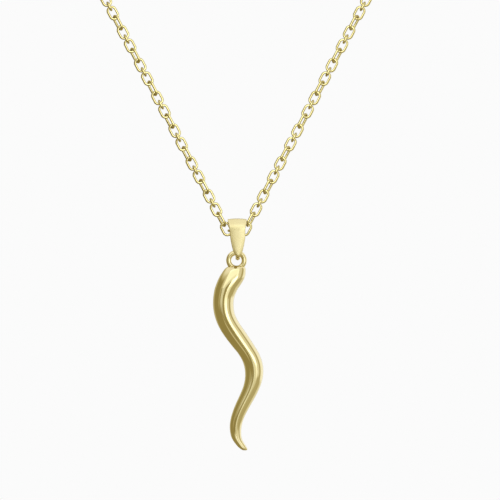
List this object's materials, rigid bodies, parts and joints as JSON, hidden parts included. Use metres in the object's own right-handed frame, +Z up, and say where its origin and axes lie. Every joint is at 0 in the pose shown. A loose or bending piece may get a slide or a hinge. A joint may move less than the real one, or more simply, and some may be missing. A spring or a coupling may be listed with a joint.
{
  "type": "horn charm necklace",
  "caption": "Fine cable chain necklace with a curved horn charm that hangs from a tapered folded bail.",
  "frame": {"origin": "middle of the back of the chain, where it lies on the nape", "axes": "+Z up, -Y forwards to the pendant, +X to the right seen from the front"},
  "size_m": [0.116, 0.0906, 0.1642],
  "materials": {
    "chain_gold": "polished yellow gold plate",
    "bail_gold": "satin polished pale gold plate",
    "horn_gold": "satin polished pale gold plate",
    "clasp_gold": "polished yellow gold plate"
  },
  "bodies": {
    "chain": {"chain_right": "chain_gold", "chain_left": "chain_gold", "clasp": "clasp_gold"},
    "bail": {"bail": "bail_gold"},
    "horn": {"horn": "horn_gold"}
  },
  "joints": [
    {"name": "bail_swing", "type": "hinge", "parent": "chain", "child": "bail", "pos_m": [0.00025, -0.08687, -0.11702], "axis": [1, 0, 0], "range_deg": [-60, 60]},
    {"name": "horn_swing", "type": "hinge", "parent": "bail", "child": "horn", "pos_m": [0.00008, -0.08687, -0.12175], "axis": [1, 0, 0], "range_deg": [-50, 50]}
  ]
}
